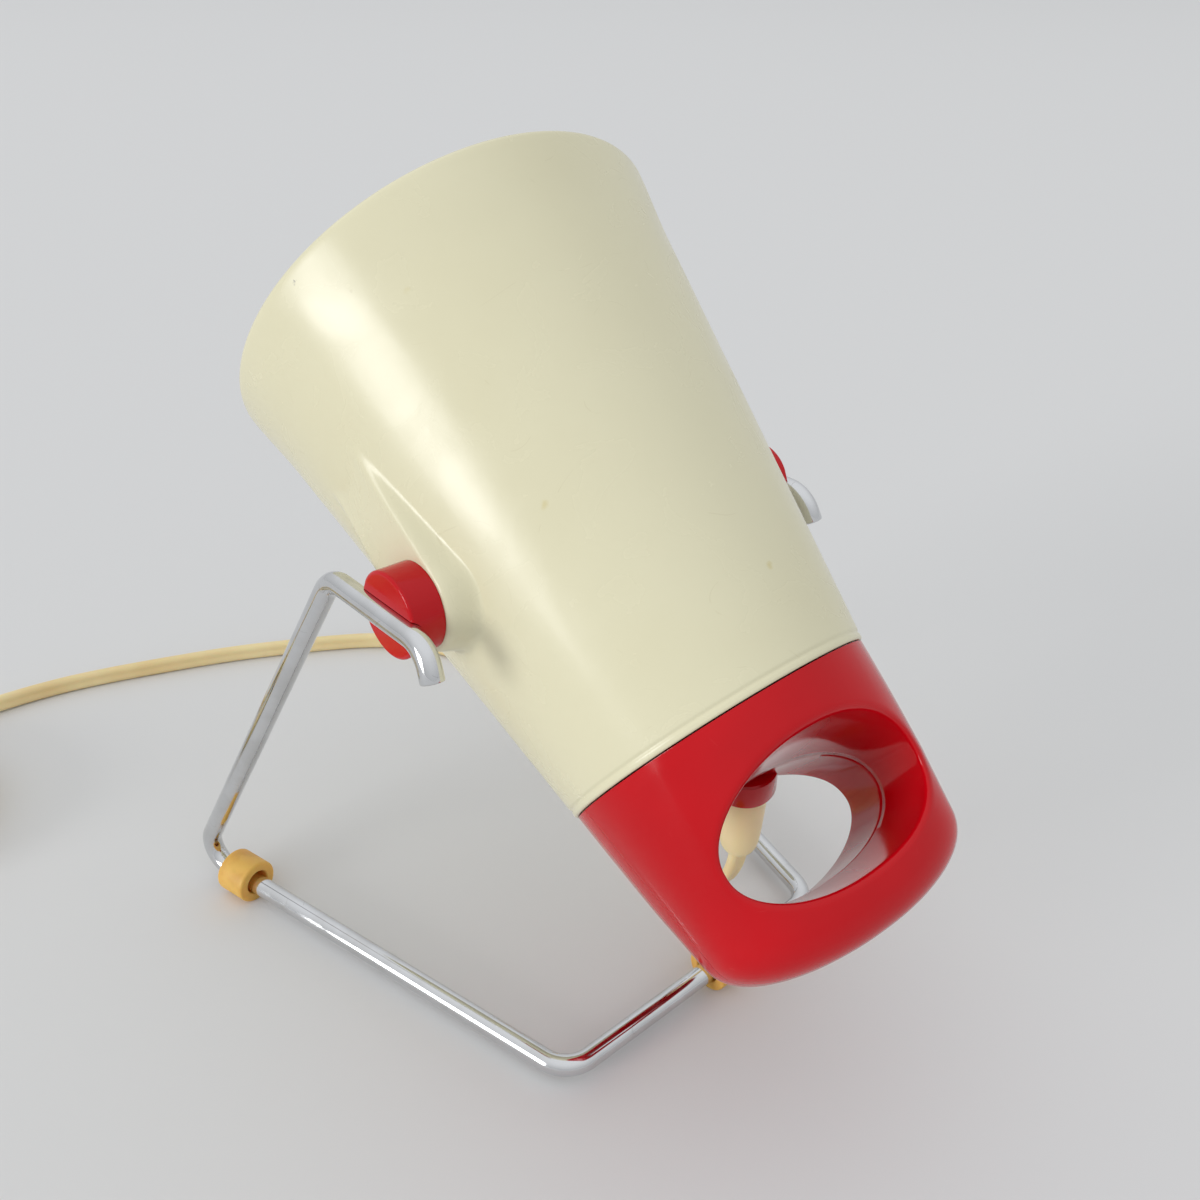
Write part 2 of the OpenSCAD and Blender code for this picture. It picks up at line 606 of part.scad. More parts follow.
floor_fine = smooth(floor_points, 2);
function share_from(i, start) = max(0, min(1, (i / 2 - start) / turn_length));
function edge_turn(i) = 90 * share_from(i, on_edge);
function turned_half(a) = max([for (q = flat_section(cord_width, cord_thick)) q[0] * sin(a) - q[1] * cos(a)]);
function floor_height(i) = turned_half(edge_turn(i)) + lerp(off_table, coil_lift, share_from(i, coil_rise));
function across(a, b) = unit([b[1] - a[1], a[0] - b[0], 0]);
floor_path = [for (i = [0:len(floor_fine) - 1]) [floor_fine[i][0], floor_fine[i][1], floor_height(i)]];
floor_wide = [for (i = [0:len(floor_path) - 1])
    cos(edge_turn(i)) * across(floor_path[max(0, i - 1)], floor_path[min(len(floor_path) - 1, i + 1)])
    + [0, 0, sin(edge_turn(i))]];

module cord_lead() color(cream) over_table() {
    fine = smooth(lead_points, 2);
    count = len(fine) - 1;
    loft(swept(fine, [for (i = [0:count]) lerp(relief_wide, [1, 0, 0], i / count)],
        flat_section(cord_width, cord_thick)));
}

module cord() color(cream) over_table()
    loft(swept(floor_path, floor_wide, flat_section(cord_width, cord_thick)));

// centre line of the coil: the radius falls by a pitch a turn, stays for the half turn in which
// the cord climbs to the second layer, then grows again
function coil_r(t) =
    let (out = abs(t - coil_turns), inner = coil_out - coil_pitch * (coil_turns + 0.25))
    out < 0.25 ? inner : out < 0.75 ? inner + coil_pitch * (out - 0.25) * 2 : inner + coil_pitch * (out + 0.25);
function coil_z(t) = coil_lift + cord_width / 2 + (cord_width + layer_gap)
    * max(0, min(1, (t - coil_turns + 0.25) * 2));
coil_loops = [for (i = [0:2 * coil_turns * coil_rings])
    let (t = i / coil_rings, a = -90 + 360 * t)
    [coil_at[0] + coil_r(t) * cos(a), coil_at[1] + coil_r(t) * sin(a), coil_z(t)]];
tail_points = [[6, 0, 0], [13, 0.3, -1], [24, 2, -3.6], [36, 5, -5.1], [49, 9, -5.8], [58, 11.6, -6],
    [65, 13.6, -6]];
coil_last = coil_loops[len(coil_loops) - 1];
coil_path = concat([coil_loops[0] - [1, 0, 0]], [coil_loops[0] + [2, 0, 0]],
    [for (i = [1:len(coil_loops) - 1]) coil_loops[i]], [for (p = tail_points) coil_last + p]);
function tail_turn(i) = max(0, min(1, (i - len(coil_loops) - 1) / 5));
coil_wide = [for (i = [0:len(coil_path) - 1]) [0, cos(90 * (1 - tail_turn(i))), 0]
    + [0, 0, cos(90 * tail_turn(i))]];
coil_section = [for (q = [[1, 0], [0.6, 1], [-0.6, 1], [-1, 0], [-0.6, -1], [0.6, -1]])
    [q[0] * cord_width / 2, -q[1] * cord_thick / 2]];
coil_gap = min([for (i = [0:len(coil_loops) - 1], j = [i + coil_rings / 2:1:len(coil_loops) - 1])
    let (d = coil_loops[j] - coil_loops[i]) max(norm([d[0], d[1]]) - cord_thick, abs(d[2]) - cord_width)]);
echo(coil_gap = coil_gap);

module cord_coil() color(cream) over_table() loft(swept(coil_path, coil_wide, coil_section));

// a band round the coil's turns, on the side away from the lamp
tie_in = [coil_r(0.5) - coil_r(coil_turns - 0.5) + cord_thick + 0.8, 2 * cord_width + layer_gap + 0.8];
tie_y = coil_at[1] + (coil_r(0.5) + coil_r(coil_turns - 0.5)) / 2;
module coil_tie() color([0.25, 0.25, 0.25]) over_table()
    translate([coil_at[0], tie_y, coil_lift + cord_width + layer_gap / 2])
    rotate([90, 0, 90]) linear_extrude(5, center = true) difference() {
        square([tie_in[0] + 1.6, tie_in[1] + 1.6], center = true);
        square(tie_in, center = true);
    }

plug_way = unit(tail_points[6] - tail_points[5]);
plug_turn = atan2(plug_way[1], plug_way[0]);
module at_plug() over_table() translate(coil_last + tail_points[6]) rotate([0, 0, plug_turn]) children();

module at_pins(r, from, long) for (y = [-9, 9]) translate([from, y, 0]) rotate([0, 90, 0]) cylinder(r = r, h = long);

module plug_body() color(cream) at_plug() translate([0.05, 0, 0]) difference() {
    rotate([0, 90, 0]) {
        cylinder(r1 = 4.6, r2 = 6, h = 14);
        intersection() {
            translate([0, 0, 13.9]) linear_extrude(24) square([12.6, 34], center = true);
            translate([0, 0, 9.4]) rotate([0, 90, 0]) translate([0, 0, -20]) cylinder(r = 28.6, h = 40);
        }
    }
    at_pins(2 + touch, 32, 19);
}

module plug_pins() color(brass) at_plug() at_pins(2, 32.1, 23);

shade();
handle_upper();
handle_lower();
handle_screws();
bridge_plate();
bridge_screws();
holder_body();
holder_screws();
terminal_screws();
holder_shell();
holder_contact();
bulb_glass();
bulb_cap();
bulb_insulator();
bulb_contact();
filament();
lead_left();
lead_right();
cord_clamp();
clamp_screws();
cord_inner();
strain_relief();
knob_left();
knob_right();
pivot_studs();
pivot_washers();
pivot_nuts();
stand_wire();
foot_left();
foot_right();
foot_rear();
cord_lead();
cord();
cord_coil();
coil_tie();
plug_body();
plug_pins();
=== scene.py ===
"""Looks of an infrared heat therapy lamp: an enamelled cone with a red moulded handle, held
between two knobs by a sprung chrome wire stand on three rubber rings. Metres throughout; lists
of sizes marked mm are multiplied by mm where they are used."""

import json

import bmesh
import bpy
import numpy as np
from mathutils import Matrix


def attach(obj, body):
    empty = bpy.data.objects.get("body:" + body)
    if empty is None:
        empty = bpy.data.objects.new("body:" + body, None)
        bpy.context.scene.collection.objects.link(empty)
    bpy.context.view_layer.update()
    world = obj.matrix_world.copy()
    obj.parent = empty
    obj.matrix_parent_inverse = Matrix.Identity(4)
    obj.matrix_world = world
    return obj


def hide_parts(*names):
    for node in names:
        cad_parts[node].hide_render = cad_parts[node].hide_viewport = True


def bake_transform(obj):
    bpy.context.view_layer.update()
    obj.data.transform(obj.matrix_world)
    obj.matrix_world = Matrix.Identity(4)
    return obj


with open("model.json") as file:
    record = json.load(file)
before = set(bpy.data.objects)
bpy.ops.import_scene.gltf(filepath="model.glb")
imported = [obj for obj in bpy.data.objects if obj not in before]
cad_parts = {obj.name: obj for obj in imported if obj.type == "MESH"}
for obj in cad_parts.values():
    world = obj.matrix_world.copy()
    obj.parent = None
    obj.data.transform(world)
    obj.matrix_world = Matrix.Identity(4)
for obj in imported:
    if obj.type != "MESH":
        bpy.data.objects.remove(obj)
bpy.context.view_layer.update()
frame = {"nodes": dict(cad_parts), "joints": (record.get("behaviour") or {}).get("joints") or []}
mm = 0.001

# ---- Camera ----
# The lamp is seen from above and behind its left side, about a third of a metre away, with the
# grip hole towards the viewer and the mouth turned away.
pivot = np.array(frame["joints"][0]["pos_m"])
foot = pivot * (1, 1, 0)
camera_place = foot + mm * np.array([186.4, 204.82, 274.03])
camera_yaw, camera_pitch, camera_roll = 0.743, -0.522, 0.033
camera_lens, camera_film = 33.744, 36.0

ahead = np.array([-np.sin(camera_yaw) * np.cos(camera_pitch),
                  -np.cos(camera_yaw) * np.cos(camera_pitch), np.sin(camera_pitch)])
level = np.cross(ahead, (0, 0, 1))
level /= np.linalg.norm(level)
above = np.cross(level, ahead)
camera_right = level * np.cos(camera_roll) + above * np.sin(camera_roll)
camera_up = above * np.cos(camera_roll) - level * np.sin(camera_roll)


def axes_matrix(x, y, z, place):
    """World matrix of an object at a place, with its own axes along x, y and z."""
    return Matrix([[x[k], y[k], z[k], place[k]] for k in range(3)] + [[0, 0, 0, 1]])


camera = bpy.data.objects.new("camera", bpy.data.cameras.new("camera"))
bpy.context.scene.collection.objects.link(camera)
bpy.context.scene.camera = camera
camera.data.lens = camera_lens
camera.data.sensor_width = camera_film
camera.data.sensor_fit = "HORIZONTAL"
camera.data.clip_start = 0.01
camera.matrix_world = axes_matrix(camera_right, camera_up, -ahead, camera_place)


# ---- Flat twin cord ----
# Two cores side by side in one cream vinyl skin, 7 by 3.5 mm, with a shallow groove between them.
# It hangs from the strain relief to the table, lies flat for a short way, turns on edge, and the
# length that is put away is wound in two layers of three turns.
cord_width, cord_thick, cord_web = 7 * mm, 3.5 * mm, 2.75 * mm
cord_length, off_table = 1.9, 0.05 * mm
lie = cord_thick / 2 + off_table
relief_place = mm * np.array([-15.5, -33.6, -75])
relief_lean = np.radians(29)
relief_length = 34 * mm
head_tilt, handle_turn = np.radians(36.4), np.radians(12)


def surface(name, points, wrap_rows=False, wrap_columns=True, ends=False, crease=None):
    """A mesh through a grid of points: every four neighbours make a face, joined round where the
    grid wraps, with a flat end on the first and last row where asked. Doubles are merged and all
    faces turned outwards; edges bent more than crease degrees are kept sharp."""
    rows, columns = points.shape[:2]
    i, j = np.meshgrid(np.arange(rows if wrap_rows else rows - 1),
                       np.arange(columns if wrap_columns else columns - 1), indexing="ij")
    down, along = (i + 1) % rows * columns, (j + 1) % columns
    corners = [i * columns + j, i * columns + along, down + along, down + j]
    faces = np.stack(corners, -1).reshape(-1, 4).tolist()
    if ends:
        last = (rows - 1) * columns
        faces += [list(range(columns))[::-1], list(range(last, last + columns))]
    mesh = bpy.data.meshes.new(name)
    mesh.from_pydata(points.reshape(-1, 3).tolist(), [], faces)
    work = bmesh.new()
    work.from_mesh(mesh)
    bmesh.ops.remove_doubles(work, verts=work.verts, dist=2e-6)
    bmesh.ops.dissolve_degenerate(work, edges=work.edges, dist=1e-7)
    bmesh.ops.recalc_face_normals(work, faces=work.faces)
    work.to_mesh(mesh)
    work.free()
    mesh.shade_smooth()
    if crease:
        mesh.set_sharp_from_angle(angle=np.radians(crease))
    piece = bpy.data.objects.new(name, mesh)
    bpy.context.scene.collection.objects.link(piece)
    return piece


def finished(piece, material, body, *nodes):
    """Gives a piece its material and slot, lets it ride on its body and stand for CAD nodes."""
    piece.data.materials.append(material)
    if body:
        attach(piece, body)
    if nodes:
        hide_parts(*nodes)
    return piece


def in_head(p):
    """Place over the table of a point given across, above and along the lamp from its pivot."""
    up = np.array([0, np.sin(head_tilt), np.cos(head_tilt)])
    along = np.array([0, -np.cos(head_tilt), np.sin(head_tilt)])
    return pivot + np.asarray(p) @ np.array([[1, 0, 0], up, along])


def in_handle(p):
    """The same for a point of the handle, which is turned about the lamp's axis."""
    c, s = np.cos(handle_turn), np.sin(handle_turn)
    return in_head(np.asarray(p) @ np.array([[c, -s, 0], [s, c, 0], [0, 0, 1]]))


def in_relief(p):
    """The same for a point given from the strain relief's seat, z along the sleeve."""
    c, s = np.cos(relief_lean), np.sin(relief_lean)
    return in_handle(relief_place + np.asarray(p) @ np.array([[1, 0, 0], [0, s, -c], [0, c, s]]))


def smooth(points, steps):
    """Catmull-Rom curve through the points, with steps stations from each point to the next."""
    p = np.vstack([2 * points[0] - points[1], points, 2 * points[-1] - points[-2]])
    t = (np.arange(steps) / steps)[None, :, None]
    a, b, c, d = (p[k:len(p) - 3 + k, None] for k in range(4))
    fine = 0.5 * (2 * b + t * (c - a) + t * t * (2 * a - 5 * b + 4 * c - d)
                  + t ** 3 * (3 * b - a - 3 * c + d))
    return np.vstack([fine.reshape(-1, points.shape[1]), points[-1:]])


def unit(v):
    return v / np.linalg.norm(v, axis=-1, keepdims=True)


def carried(path, wide, section):
    """A section's points carried along a path: first coordinate along wide, second square to it."""
    way = unit(np.gradient(path, axis=0))
    wide = unit(wide - (wide * way).sum(-1, keepdims=True) * way)
    thick = np.cross(way, wide)
    return (path[:, None] + section[None, :, :1] * wide[:, None]
            + section[None, :, 1:] * thick[:, None])


def twin_section(count):
    """Outline of the twin cord: two round cores, joined by a web that fills the waist between."""
    a = (np.arange(count) + 0.5) * 2 * np.pi / count
    core = cord_thick / 2
    x = np.cos(a) * cord_width / 2
    lobe = np.sqrt(np.maximum(0, core ** 2 - (np.abs(x) - core) ** 2))
    web = cord_web / 2 * (1 - np.minimum(1, np.abs(x) / core) ** 4)
    return np.stack([x, np.sign(np.sin(a)) * (lobe ** 8 + web ** 8) ** (1 / 8)], -1)


relief_tip = in_relief((0, 0, -relief_length - 0.1 * mm))
relief_way = unit(relief_tip - in_relief((0, 0, 0)))
lead_points = np.vstack([relief_tip, relief_tip + 4 * mm * relief_way, foot + np.array([
    [-0.0300, 0.0364, 0.0215], [-0.0308, 0.0330, 0.0140], [-0.0314, 0.0275, 0.0080],
    [-0.0320, 0.0200, 0.0040], [-0.0326, 0.0110, 0.0022], [-0.0332, 0.0030, lie]])])
floor_points = foot + np.array([
    [-0.0338, -0.0031, lie], [-0.0344, -0.009, lie], [-0.037, -0.030, lie], [-0.042, -0.055, lie],
    [-0.048, -0.080, lie], [-0.054, -0.105, lie], [-0.056, -0.128, lie], [-0.052, -0.148, lie],
    [-0.042, -0.165, lie], [-0.0285, -0.178, lie], [-0.013, -0.188, lie], [0.004, -0.197, lie],
    [0.025, -0.207, lie], [0.050, -0.2165, lie], [0.076, -0.225, lie], [0.096, -0.2295, lie],
    [0.117, -0.231, lie], [0.138, -0.231, lie], [0.160, -0.231, lie], [0.170, -0.231, lie],
    [0.177, -0.231, lie]])
tail_points = np.array([[0, 0, 0], [0.006, 0, 0], [0.013, 0.0003, -0.001], [0.024, 0.002, -0.0036],
                        [0.036, 0.005, -0.0051], [0.049, 0.009, -0.0058], [0.058, 0.0116, -0.006],
                        [0.065, 0.0136, -0.006]])
coil_turns, coil_pitch, coil_lift, coil_out = 3, 4.1 * mm, 1.3 * mm, 42.9 * mm
layer_gap = 0.6 * mm
coil_middle = foot + np.array([0.178, -0.231 + coil_out, 0])
turn_start, rise_start, turn_steps, hang_steps, let_down_steps = 5, 15, 3.5, 6, 5
path_steps, coil_steps, tail_steps, cord_sides = 8, 72, 4, 28


def coil_radius(turn):
    """The radius falls by a pitch a turn, stays for the half turn in which the cord climbs to the
    second layer, then grows again."""
    out, inner = np.abs(turn - coil_turns), coil_out - coil_pitch * (coil_turns + 0.25)
    climb = np.where(out < 0.25, 0, np.where(out < 0.75, (out - 0.25) * 2, out + 0.25))
    return inner + coil_pitch * climb


def coil_height(turn):
    return (coil_lift + cord_width / 2
            + (cord_width + layer_gap) * np.clip((turn - coil_turns + 0.25) * 2, 0, 1))


laid = smooth(np.vstack([lead_points, floor_points]), path_steps)
station = np.arange(len(laid)) / path_steps - len(lead_points)
on_edge = np.pi / 2 * np.clip((station - turn_start) / turn_steps, 0, 1)
core_apart = (cord_width - cord_thick) / 2
laid[:, 2] += (core_apart * np.sin(on_edge)
               + (coil_lift - off_table) * np.clip((station - rise_start) / turn_steps, 0, 1))
turns = np.linspace(0, 2 * coil_turns, 2 * coil_turns * coil_steps + 1)
coil_angle = 2 * np.pi * turns - np.pi / 2
coiled = coil_middle + np.stack([coil_radius(turns) * np.cos(coil_angle),
                                 coil_radius(turns) * np.sin(coil_angle), coil_height(turns)], -1)
tail = smooth(coiled[-1] + tail_points, tail_steps)[1:]
cord_path = np.vstack([laid, coiled, tail])

sideways = unit(np.cross(np.gradient(laid, axis=0), (0, 0, 1)))
hanging = np.clip(-station / hang_steps, 0, 1)[:, None]
relief_wide = in_relief((-1, 0, 0)) - in_relief((0, 0, 0))
laid_wide = np.cos(on_edge)[:, None] * unit(sideways * (1 - hanging) + relief_wide * hanging)
laid_wide[:, 2] += np.sin(on_edge)
let_down = np.pi / 2 * np.clip(np.arange(len(tail)) / (let_down_steps * tail_steps), 0, 1)
tail_wide = np.stack([0 * let_down, np.sin(let_down), np.cos(let_down)], -1)
cord_wide = np.vstack([laid_wide, np.tile((0, 0, 1.0), (len(coiled), 1)), tail_wide])


def srgb(*channels):
    """Linear colour of a paint as it is seen, given as red, green and blue out of 255."""
    c = np.array(channels) / 255
    return (*np.where(c <= 0.04045, c / 12.92, ((c + 0.055) / 1.055) ** 2.4), 1.0)


def group(name, inputs, outputs):
    """An empty shader node group with its sockets; kinds are Color, Float or Vector."""
    tree = bpy.data.node_groups.new(name, "ShaderNodeTree")
    for direction, sockets in (("INPUT", inputs), ("OUTPUT", outputs)):
        for label, kind in sockets.items():
            tree.interface.new_socket(label, in_out=direction, socket_type="NodeSocket" + kind)
    return tree, tree.nodes.new("NodeGroupInput").outputs, tree.nodes.new("NodeGroupOutput").inputs


def feed(tree, socket, value):
    """Links a socket to another node's output, or sets its own value."""
    if isinstance(value, bpy.types.NodeSocket):
        tree.links.new(value, socket)
    else:
        socket.default_value = value


def node(tree, kind, values=None, **settings):
    """A node with its settings; values are numbers for its sockets or other nodes' outputs."""
    made = tree.nodes.new("ShaderNode" + kind)
    for key, value in settings.items():
        setattr(made, key, value)
    for key, value in (values or {}).items():
        feed(tree, made.inputs[key], value)
    return made


def step_range(tree, value, low, high, start=0.0, end=1.0):
    """Smooth ramp of value from low to high, put out between start and end."""
    return node(tree, "MapRange", {0: value, 1: low, 2: high, 3: start, 4: end},
                interpolation_type="SMOOTHSTEP").outputs[0]


def math_node(tree, operation, *values):
    return node(tree, "Math", dict(enumerate(values)), operation=operation).outputs[0]


def blended(tree, share, under, over):
    """Colour under with colour over laid on it by share."""
    made = node(tree, "Mix", data_type="RGBA")
    for socket, value in ((0, share), (6, under), (7, over)):
        feed(tree, made.inputs[socket], value)
    return made.outputs[2]


def aged_surface():
    """Group: cloudy patches between two colours, handling marks in the roughness, and a fine
    grain as a normal. Every finish of the lamp uses it with its own values."""
    tree, put, out = group("aged_surface", {
        "Vector": "Vector", "Colour": "Color", "Patch Colour": "Color", "Patch Scale": "Float",
        "Patch Amount": "Float", "Roughness": "Float", "Roughness Spread": "Float",
        "Grain Scale": "Float", "Grain Height": "Float"},
        {"Colour": "Color", "Roughness": "Float", "Normal": "Vector"})
    patches = node(tree, "TexNoise", {"Vector": put["Vector"], "Scale": put["Patch Scale"],
                                      "Detail": 4.0})
    share = math_node(tree, "MULTIPLY", step_range(tree, patches.outputs[0], 0.38, 0.66),
                      put["Patch Amount"])
    tree.links.new(blended(tree, share, put["Colour"], put["Patch Colour"]), out["Colour"])
    smears = node(tree, "TexNoise", {"Vector": put["Vector"], "Scale": 60.0, "Detail": 6.0,
                                     "Distortion": 0.8})
    swing = step_range(tree, smears.outputs[0], 0.35, 0.7, -1.0, 1.0)
    wander = math_node(tree, "MULTIPLY", swing, put["Roughness Spread"])
    tree.links.new(math_node(tree, "ADD", put["Roughness"], wander), out["Roughness"])
    grain = node(tree, "TexNoise", {"Vector": put["Vector"], "Scale": put["Grain Scale"],
                                    "Detail": 3.0})
    bump = node(tree, "Bump", {"Strength": 1.0, "Distance": put["Grain Height"],
                               "Height": grain.outputs[0]})
    tree.links.new(bump.outputs[0], out["Normal"])
    return tree


surface_group = aged_surface()


def base_colour(tree):
    """What feeds the shader's colour so far."""
    return tree.nodes["Principled BSDF"].inputs["Base Color"].links[0].from_socket


def object_place(tree):
    """The place in the object's own metres, which every finish reads."""
    return next(n for n in tree.nodes if n.bl_idname == "ShaderNodeTexCoord").outputs["Object"]


def finish(name, colour, patch_colour, roughness, patch_scale=30.0, patch_amount=0.5, spread=0.05,
           grain_scale=900.0, grain_height=0.00002, **plain):
    """A material on the aged surface; plain are values set on the shader's own sockets."""
    material = bpy.data.materials.new(name + "_finish")
    material["slot"] = name
    material.use_nodes = True
    tree = material.node_tree
    shader = tree.nodes["Principled BSDF"]
    place = node(tree, "TexCoord").outputs["Object"]
    aged = node(tree, "Group", node_tree=surface_group)
    for key, value in {"Vector": place, "Colour": colour, "Patch Colour": patch_colour,
                       "Patch Scale": patch_scale, "Patch Amount": patch_amount,
                       "Roughness": roughness, "Roughness Spread": spread,
                       "Grain Scale": grain_scale, "Grain Height": grain_height}.items():
        feed(tree, aged.inputs[key], value)
    for ours, theirs in (("Colour", "Base Color"), ("Roughness", "Roughness"), ("Normal", "Normal")):
        tree.links.new(aged.outputs[ours], shader.inputs[theirs])
    for key, value in plain.items():
        shader.inputs[key.replace("_", " ")].default_value = value
    return material


cord_cream = finish("cord_cream", srgb(236, 216, 168), srgb(222, 192, 138), 0.38, 22.0, 0.7,
                    grain_scale=700.0, Specular_IOR_Level=0.45, Subsurface_Weight=0.15)
flex = finished(surface("flex", carried(cord_path, cord_wide, twin_section(cord_sides)), ends=True),
                cord_cream, None, "cord_lead", "cord", "cord_coil")
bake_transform(flex)


# ---- Plug, pins and tie ----
# The put-away end of the cord: a moulded two-pin plug with a ribbed sleeve, two brass pins pressed
# into it, and a soft plastic band round all the turns of the coil.
plug_sleeve, plug_length, plug_half_width, plug_half_thick = 14 * mm, 38 * mm, 17 * mm, 6.3 * mm
sleeve_r, sleeve_growth, rib_height, rib_pitch = 4.6 * mm, 1.4 * mm, 0.25 * mm, 2.8 * mm
body_r, plug_edge = 6 * mm, 1.5 * mm
plug_way = unit(tail_points[-1] - tail_points[-2])
plug_side = np.array([-plug_way[1], plug_way[0], 0])
plug_place = cord_path[-1] + 0.05 * mm * plug_way


def at_plug(p):
    """Place of a point given along the plug, across it and above it."""
    return plug_place + np.asarray(p) @ np.array([plug_way, plug_side, (0, 0, 1)])


def plug_shape(rows, columns):
    """Superellipse sections along the plug: a round sleeve with shallow ribs swells in a quarter
    arc into a flat body, whose front edge is rounded before it closes on its middle."""
    t = np.linspace(0, 1, rows)
    along = plug_length * (t + 0.03 * np.sin(2 * np.pi * t))
    swell = np.sqrt(np.clip((along - plug_sleeve) / (plug_length * 0.3), 0, 1))
    front = np.clip((plug_length - along) / plug_edge, 0, 1)
    edge = 1 - 0.12 * (1 - np.sqrt(1 - (1 - front) ** 2))
    on_sleeve = along < plug_sleeve
    sleeve = sleeve_r + sleeve_growth * along / plug_sleeve
    sleeve = sleeve + rib_height * np.cos(2 * np.pi * along / rib_pitch) * on_sleeve
    wide = np.where(on_sleeve, sleeve, body_r + (plug_half_width - body_r) * swell) * edge
    thick = np.where(on_sleeve, sleeve, plug_half_thick - 0.3 * mm * (1 - swell)) * edge
    power = 1 / (1 + 0.9 * swell)
    a = np.arange(columns) * 2 * np.pi / columns
    across = np.sign(np.cos(a)) * np.abs(np.cos(a)) ** power[:, None] * wide[:, None]
    height = np.sign(np.sin(a)) * np.abs(np.sin(a)) ** power[:, None] * thick[:, None]
    return at_plug(np.stack([along[:, None] + 0 * across, across, height], -1))


plug = finished(surface("plug", plug_shape(120, 72), ends=True, crease=50), cord_cream, "stand",
                "plug_body")

brass = finish("brass", srgb(214, 186, 110), srgb(160, 128, 70), 0.28, 60.0, 0.5, 0.1, Metallic=1.0)
tie_plastic = finish("tie_plastic", srgb(52, 52, 52), srgb(74, 72, 70), 0.45, 80.0, 0.5)
porcelain = finish("porcelain", srgb(236, 231, 219), srgb(214, 205, 188), 0.18, 40.0, 0.6,
                   Coat_Weight=0.4)
steel = finish("steel", srgb(188, 188, 188), srgb(140, 138, 134), 0.34, 120.0, 0.6, 0.12,
               Metallic=1.0)


def dressed(material, *names):
    """Puts the material on CAD nodes that stay."""
    for name in names:
        for place in frame["nodes"][name].material_slots:
            place.material = material


dressed(brass, "plug_pins", "terminal_screws", "holder_shell", "holder_contact")
dressed(tie_plastic, "coil_tie")


# ---- Strain relief ----
# A tapered cream sleeve moulded round the cord, rounded off at its tip, with a flange held in the
# lower half of the handle. A round closed red boss of that half stands round its upper end.
def turned(name, profile, place, count=96, wrap=True, crease=40):
    """A profile of radius and height turned about the z axis of the frame that place puts it in."""
    a = np.arange(count) * 2 * np.pi / count
    radius, height = (profile[:, k, None] for k in range(2))
    points = np.stack([radius * np.cos(a), radius * np.sin(a), height + 0 * a], -1)
    return surface(name, place(points), wrap_rows=wrap, crease=crease)


relief_profile = mm * np.array([
    [0, -34.0], [2.6, -34.0], [3.6, -33.8], [4.6, -33.1], [5.3, -32.0], [5.8, -30.6],
    [6.2, -28], [6.6, -22], [7.0, -14], [7.3, -7], [7.5, -3.4], [7.45, -3.1], [6.0, -3.05],
    [6.0, 3.2], [7.6, 3.9], [7.6, 5.35], [0, 5.35]])
finished(turned("strain_relief_sleeve", relief_profile, in_relief), cord_cream, "head",
         "strain_relief")
relief_boss_profile = mm * np.array([
    [0, 5.6], [7.7, 5.6], [7.7, 3.0], [6.1, 3.0], [6.1, -2.8], [6.3, -3],
    [8.9, -3], [9.35, -2.8], [9.5, -2.4], [9.5, 5.8], [8.9, 6.4], [0, 6.4]])


# ---- Shade ----
# One deep-drawn cone of sheet steel, stove-enamelled in cream: a roll stiffens the mouth, a small
# rolled lip closes the neck, and on each side a flat tongue is pressed out to carry a knob.
neck_r, neck_s, mouth_s, sheet = 44.1 * mm, -61.4 * mm, 82.5 * mm, 1 * mm
cone_mouth_r, mouth_r, roll_r = 65 * mm, 65.5 * mm, 1.8 * mm
cone_slope = (cone_mouth_r - neck_r) / (mouth_s - neck_s)
roll_s, roll_middle = mouth_s - roll_r, mouth_r - roll_r
flare_s = 60 * mm
groove_s, groove_depth, groove_half = 1.3 * mm, 0.35 * mm, 0.45 * mm
lip_r, flange_r = 0.8 * mm, 36 * mm
boss_x, boss_r, boss_end, boss_end_r = 58.2 * mm, 12.8 * mm, 46 * mm, 9 * mm
boss_wall = 3.2 * mm


def cone_r(s):
    return neck_r + cone_slope * (s - neck_s)


def smoothstep(x):
    x = np.clip(x, 0, 1)
    return x * x * (3 - 2 * x)


def arc(middle_r, middle_s, r, start, end, count):
    """Points of an arc in the profile's plane, angles in degrees from the radius outwards."""
    a = np.radians(np.linspace(start, end, count))
    return np.stack([middle_r + r * np.cos(a), middle_s + r * np.sin(a)], -1)


def shade_profile():
    """Closed outline of the sheet: up the outside from a fine groove that sets off the neck's lip,
    flared by half the roll near the mouth, round the roll, down the inside, in along the flange
    and back round the lip."""
    s = np.concatenate([np.linspace(neck_s, neck_s + 3 * mm, 11)[:-1],
                        np.linspace(neck_s + 3 * mm, -18 * mm, 16),
                        np.arange(-17 * mm, 48 * mm, 1.05 * mm), np.linspace(50 * mm, roll_s, 22)])
    flare = (mouth_r - cone_r(roll_s)) * smoothstep((s - flare_s) / (roll_s - flare_s))
    groove = groove_depth * np.exp(-((s - neck_s - groove_s) / groove_half) ** 2)
    outside = np.stack([cone_r(s) + flare - groove, s], -1)
    inner = s[s < roll_s - 2.2 * mm][::-1]
    inside = np.stack([cone_r(inner) - sheet, inner], -1)[:-1]
    neck = np.array([[cone_r(neck_s) - sheet, neck_s + sheet], [flange_r, neck_s + sheet],
                     [flange_r, neck_s]])
    return np.vstack([outside, arc(roll_middle, roll_s, roll_r, 8, 262, 20), inside, neck,
                      arc(neck_r - lip_r, neck_s, lip_r, -180, -12, 9)])


def boss_mask(across, along):
    """One on the flat tongue, falling to nothing over its wall: the distance outside a circle
    round the pivot behind it, and outside straight sides drawing together in front of it."""
    half = boss_r - (boss_r - boss_end_r) * along / boss_end
    outside = np.where(along < 0, np.hypot(across, along) - boss_r, np.abs(across) - half)
    return 1 - smoothstep((outside + 0.25 * boss_wall) / boss_wall)


